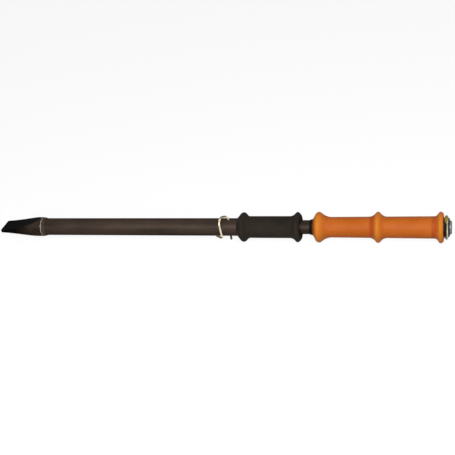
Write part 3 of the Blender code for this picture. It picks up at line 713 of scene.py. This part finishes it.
lowerGrip = {"outline": [(60.05, 21.5, 0), (60.05, 22.3, 0), (74.25, 39.11, 7.5), (86.05, 26, 9),
                         (194.28, 26, 17), (205.15, 38.07, 5.4), (212.6, 29.8, 0.9),
                         (211.9, 28.9, 0.6), (207.4, 25.6, 3), (206.05, 19.5, 1),
                         (206.05, 17.3, 0.3), (202.65, 17.3, 0), (202.65, 21.5, 0)]}
place(turnOnAxis("lowerGrip", lowerGrip["outline"]), "tube_body", gripRubber, "black_rubber",
      "lower_grip")


# Rod: slotted for the pin, grooved for its slide rings, threaded at its top

rod = {"outline": [(-393.35, 0, 0), (-393.35, 16.5, 3), (-385.65, 16.5, 0), (-385.65, 14.5, 0),
                   (-375.05, 14.5, 0), (-375.05, 16.5, 0), (-365.65, 16.5, 0),
                   (-365.65, 14.5, 0), (-355.05, 14.5, 0), (-355.05, 16.5, 0), (528.35, 16.5, 0),
                   (528.95, 16.1, 0), (556.15, 16.1, 0), (558.35, 13.9, 0), (558.35, 0, 0)],
       "slot": (-344.85, 42.15, 3.0), "threadFrom": 540, "pitch": 2.0, "threadDepth": 0.5}


def makeRod():
    piece = turnOnAxis("hammerRod", rod["outline"], steps=96, closed=False)
    low, high, radius = rod["slot"]
    bpy.ops.object.select_all(action="DESELECT")
    bpy.ops.mesh.primitive_cylinder_add(vertices=32, radius=radius * mm, depth=0.05,
                                        location=((low + radius) * mm, 0, axisHeight))
    bpy.ops.object.mode_set(mode="EDIT")
    pick("VERT", lambda point: point.co.x > 1e-6)
    bpy.ops.transform.translate(value=((high - low - 2 * radius) * mm, 0, 0))
    bpy.ops.object.mode_set(mode="OBJECT")
    carve(piece, bpy.context.object)
    carve(piece, makeThreadTool())
    return piece


def makeThreadTool():
    # a V-shaped strip wound round the rod, to cut its thread
    depth, half = rod["threadDepth"] * mm, rod["pitch"] * 0.44 * mm
    crest = 16.1 * mm
    bpy.ops.object.select_all(action="DESELECT")
    bpy.ops.mesh.primitive_circle_add(vertices=3, radius=0.001, location=(0, 0, 0))
    tool = bpy.context.object
    tool.location = (rod["threadFrom"] * mm, 0, axisHeight)
    corners = [(-half, 0, crest + 0.0003), (half, 0, crest + 0.0003), (0, 0, crest - depth)]
    for point, corner in zip(tool.data.vertices, corners):
        point.co = corner
    turns = ceil((rod["outline"][-1][0] + 2 - rod["threadFrom"]) / rod["pitch"])
    wound = tool.modifiers.new("wound", "SCREW")
    wound.axis = "X"
    wound.steps = wound.render_steps = 48
    wound.iterations = turns
    wound.screw_offset = rod["pitch"] * mm
    bpy.ops.object.modifier_apply(modifier=wound.name)
    bpy.ops.object.mode_set(mode="EDIT")
    bpy.ops.mesh.select_all(action="SELECT")
    bpy.ops.mesh.fill_holes(sides=0)
    bpy.ops.mesh.select_all(action="SELECT")
    bpy.ops.mesh.normals_make_consistent(inside=False)
    bpy.ops.object.mode_set(mode="OBJECT")
    return tool


place(makeRod(), "rod_body", rodSteel, "browned_steel", "hammer_rod")


# Buffer: the black flared ring under the upper grip

buffer = {"outline": [(234.35, 16.8, 0), (234.35, 17.3, 0.2), (242.45, 19.7, 0), (246.35, 19.7, 0),
                      (246.35, 16.8, 0)]}
place(turnOnAxis("bufferRing", buffer["outline"]), "rod_body", bufferRubber, "black_rubber",
      "rubber_buffer")


# Upper grip: orange moulding with three flanges

upperGrip = {"outline": [(242.75, 20, 0), (242.75, 21.1, 0.6), (253.41, 40.04, 8.4),
                         (274.17, 23.9, 31), (380.25, 24.7, 17), (393.05, 38.84, 6),
                         (405.85, 24.7, 17), (523.62, 25.5, 8.2),
                         (532.8, 37.45, 4.5), (540.35, 32.6, 3.8), (540.35, 16.8, 0), (257.35, 16.8, 0),
                         (257.35, 20, 0)]}
place(turnOnAxis("upperGrip", upperGrip["outline"]), "rod_body", orangeMoulding,
      "orange_moulding", "upper_grip")


# Washer, lock nut with its crimped collar, and the nylon ring inside the collar

washer = {"outline": [(540.65, 16.4, 0.2), (540.65, 23, 0.3), (542.35, 23, 0.3),
                      (542.35, 16.4, 0.2)]}
place(turnOnAxis("endWasher", washer["outline"]), "rod_body", washerPlate, "yellow_zinc",
      "end_washer")

nut = {"outline": [(542.65, 16.4, 0.4), (542.65, 24, 0), (545.46, 28.87, 0), (548.04, 28.87, 0),
                   (550.85, 24, 0), (550.85, 21.6, 0.6), (553.85, 20.9, 0.9), (553.85, 19.7, 0.3),
                   (551.15, 19.7, 0), (551.15, 16.4, 0)],
       "acrossFlats": 50.0, "turn": 14.0}


def makeNut():
    piece = turnOnAxis("lockNut", nut["outline"], steps=180)
    bpy.ops.object.select_all(action="DESELECT")
    bpy.ops.mesh.primitive_cylinder_add(
        vertices=6, radius=nut["acrossFlats"] / 2 / cos(pi / 6) * mm, depth=0.03,
        location=(0.55, 0, axisHeight))
    hexagon = bpy.context.object
    hexagon.matrix_world = (Matrix.Translation((0.55, 0, axisHeight))
                            @ Matrix.Rotation(radians(90 - nut["turn"]), 4, "X")
                            @ Matrix.Rotation(pi / 2, 4, "Y"))
    carve(piece, hexagon, "INTERSECT")
    return piece


place(makeNut(), "rod_body", nutPlate, "yellow_zinc", "lock_nut", smooth=14)

insert = {"outline": [(551.45, 16.4, 0.2), (551.45, 19.4, 0.2), (553.65, 19.4, 0.4),
                      (553.65, 16.4, 0.7)]}
place(turnOnAxis("nylonInsert", insert["outline"]), "rod_body", naturalNylon, "natural_nylon",
      "nylon_insert")


# Lock pin: one length of wire, drawn along its bends

wire = {"radius": 2.5, "sides": 24, "at": 38.65,
        "corners": [(0, 0, -34.6, 0), (0, 0, 29.5, 9.5), (-18.9, -3.5, 29.5, 9.3),
                    (-17.7, -22.9, 21.5, 7), (-14.5, -24.6, -16.9, 2.6), (-28.5, -24.6, -8.9, 0)]}


def makeLockPin():
    corners = [(Vector((wire["at"] + x, y, z)) * mm + Vector((0, 0, axisHeight)), rounding * mm)
               for x, y, z, rounding in wire["corners"]]
    bpy.ops.object.select_all(action="DESELECT")
    bpy.ops.mesh.primitive_circle_add(vertices=wire["sides"], radius=wire["radius"] * mm,
                                      fill_type="NGON", location=(0, 0, 0))
    piece = bpy.context.object
    piece.name = piece.data.name = "lockPin"
    bpy.ops.object.mode_set(mode="EDIT")
    bpy.ops.mesh.select_mode(type="FACE")
    bpy.ops.mesh.select_all(action="SELECT")
    here = corners[0][0]
    bpy.ops.transform.translate(value=here)
    for index in range(1, len(corners)):
        point, rounding = corners[index]
        into = (point - corners[index - 1][0]).normalized()
        if not rounding:
            push(*(point - here))
            break
        after = corners[index + 1][0]
        away = (after - point).normalized()
        half = (pi - into.angle(away)) / 2
        reach = rounding / tan(half)
        push(*(point - into * reach - here))
        centre = point + (away - into).normalized() * (rounding / sin(half))
        turn = pi - 2 * half
        bpy.ops.mesh.spin(steps=max(4, ceil(turn / radians(6))), angle=-turn, center=centre,
                          axis=into.cross(away).normalized())
        here = point + away * reach
    bpy.ops.mesh.select_all(action="SELECT")
    bpy.ops.mesh.remove_doubles(threshold=1e-6)
    bpy.ops.mesh.normals_make_consistent(inside=False)
    pick("FACE", lambda face: len(face.verts) == wire["sides"])
    bpy.ops.mesh.inset(thickness=0.0007)
    ends = [corners[0][0], corners[-1][0]]
    for end, inward in ((ends[0], (corners[1][0] - ends[0]).normalized()),
                        (ends[1], (corners[-2][0] - ends[1]).normalized())):
        pick("VERT", lambda point: (point.co - end).length > 0.0022
             and (point.co - end).length < 0.0026
             and abs((point.co - end).dot(inward)) < 1e-5)
        bpy.ops.transform.translate(value=inward * 0.0006)     # the cut ends are eased
    bpy.ops.object.mode_set(mode="OBJECT")
    return piece


place(makeLockPin(), "pin_body", wirePlate, "yellow_zinc", "lock_pin", smooth=40)


# CAD pieces that stay: the bush, the slide rings and the stop collar

for node in ("guide_bush", "slide_ring_lower", "slide_ring_upper"):
    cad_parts[node].data.materials.clear()
    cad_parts[node].data.materials.append(naturalNylon)
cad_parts["stop_collar"].data.materials.clear()
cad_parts["stop_collar"].data.materials.append(turnedSteel)
print("frame pieces finished")


# Floor, lamps and camera

studio = {"floorSize": 14.0, "floorGrey": 0.3, "floorWhite": 0.18, "floorLift": 0.9,
          "keySize": (1.8, 1.4), "keyPower": 40, "keyAt": (26, 42, 2.4),
          "fillSize": (1.8, 1.0), "fillPower": 24, "fillAt": (4, 26, 2.6),
          "worldDiffuse": 0.1, "worldWhite": 0.97}


def makeFloor():
    bpy.ops.object.select_all(action="DESELECT")
    bpy.ops.mesh.primitive_plane_add(size=studio["floorSize"], location=(0, 0, 0))
    floor = bpy.context.object
    floor.name = "studioFloor"
    material, tree, shader = newMaterial("floorPaper", Roughness=0.9)
    tree.nodes.remove(shader)
    paper = addNode(tree, "ShaderNodeBsdfDiffuse")
    paper.inputs["Color"].default_value = (studio["floorGrey"],) * 3 + (1,)
    seen = addNode(tree, "ShaderNodeBsdfDiffuse")
    seen.inputs["Color"].default_value = (studio["floorWhite"],) * 3 + (1,)
    lift = addNode(tree, "ShaderNodeEmission")
    lift.inputs["Strength"].default_value = studio["floorLift"]
    both = addNode(tree, "ShaderNodeAddShader")
    join(tree, seen.outputs[0], both.inputs[0])
    join(tree, lift.outputs[0], both.inputs[1])
    ray = addNode(tree, "ShaderNodeLightPath")
    direct = math(tree, "MAXIMUM", ray.outputs["Is Camera Ray"],
                  math(tree, "MAXIMUM", ray.outputs["Is Glossy Ray"],
                       ray.outputs["Is Transmission Ray"]))
    mixed = addNode(tree, "ShaderNodeMixShader")
    join(tree, direct, mixed.inputs[0])
    join(tree, paper.outputs[0], mixed.inputs[1])
    join(tree, both.outputs[0], mixed.inputs[2])
    join(tree, mixed.outputs[0], tree.nodes["Material Output"].inputs["Surface"])
    floor.data.materials.append(material)


def makeWorld():
    world = bpy.data.worlds.new("studioWorld")
    bpy.context.scene.world = world
    world.use_nodes = True
    tree = world.node_tree
    tree.nodes.clear()
    soft = addNode(tree, "ShaderNodeBackground")
    soft.inputs["Color"].default_value = (1, 1, 1, 1)
    soft.inputs["Strength"].default_value = studio["worldDiffuse"]
    white = addNode(tree, "ShaderNodeBackground")
    white.inputs["Color"].default_value = (1, 1, 1, 1)
    white.inputs["Strength"].default_value = studio["worldWhite"]
    ray = addNode(tree, "ShaderNodeLightPath")
    direct = math(tree, "MAXIMUM", ray.outputs["Is Camera Ray"],
                  math(tree, "MAXIMUM", ray.outputs["Is Glossy Ray"],
                       ray.outputs["Is Transmission Ray"]))
    mixed = addNode(tree, "ShaderNodeMixShader")
    join(tree, direct, mixed.inputs[0])
    join(tree, soft.outputs[0], mixed.inputs[1])
    join(tree, white.outputs[0], mixed.inputs[2])
    out = addNode(tree, "ShaderNodeOutputWorld")
    join(tree, mixed.outputs[0], out.inputs["Surface"])


def makeLamp(name, size, power, at):
    azimuth, elevation, distance = radians(at[0]), radians(at[1]), at[2]
    away = Vector((sin(azimuth) * cos(elevation), -cos(azimuth) * cos(elevation), sin(elevation)))
    bpy.ops.object.light_add(type="AREA", location=away * distance)
    lamp = bpy.context.object
    lamp.name = name
    lamp.data.shape = "RECTANGLE"
    lamp.data.size, lamp.data.size_y = size
    lamp.data.energy = power
    lamp.rotation_mode = "QUATERNION"
    lamp.rotation_quaternion = away.to_track_quat("Z", "Y")


# The camera is rolled so that the tool lies level in the picture, turned from the tool's side
# by one angle and raised above it by the other.
view = {"lens": 75.8, "distance": 2.3, "turn": 15.3, "rise": 31.0, "roll": 0.14,
        "aimX": 0.0334, "aimDrop": 0.0013}


def makeCamera():
    turn, rise = radians(view["turn"]), radians(view["rise"])
    along = Vector((1, 0, 0))
    inward = Vector((0, cos(rise), -sin(rise)))
    up = Vector((0, sin(rise), cos(rise)))
    right = along * cos(turn) + inward * sin(turn)
    back = along * sin(turn) - inward * cos(turn)
    roll = radians(view["roll"])
    up, right = up * cos(roll) - right * sin(roll), right * cos(roll) + up * sin(roll)
    camera = bpy.data.objects.new("photoCamera", bpy.data.cameras.new("photoCamera"))
    bpy.context.scene.collection.objects.link(camera)
    stand = Vector((view["aimX"], 0, axisHeight)) + back * view["distance"] - up * view["aimDrop"]
    camera.matrix_world = Matrix((
        (right.x, up.x, back.x, stand.x), (right.y, up.y, back.y, stand.y),
        (right.z, up.z, back.z, stand.z), (0, 0, 0, 1)))
    camera.data.lens = view["lens"]
    camera.data.sensor_width = 36
    camera.data.clip_end = 50
    bpy.context.scene.camera = camera


makeFloor()
makeWorld()
makeLamp("keyLamp", studio["keySize"], studio["keyPower"], studio["keyAt"])
makeLamp("fillLamp", studio["fillSize"], studio["fillPower"], studio["fillAt"])
makeCamera()
bpy.context.scene.view_settings.view_transform = "Standard"

print("stage set")
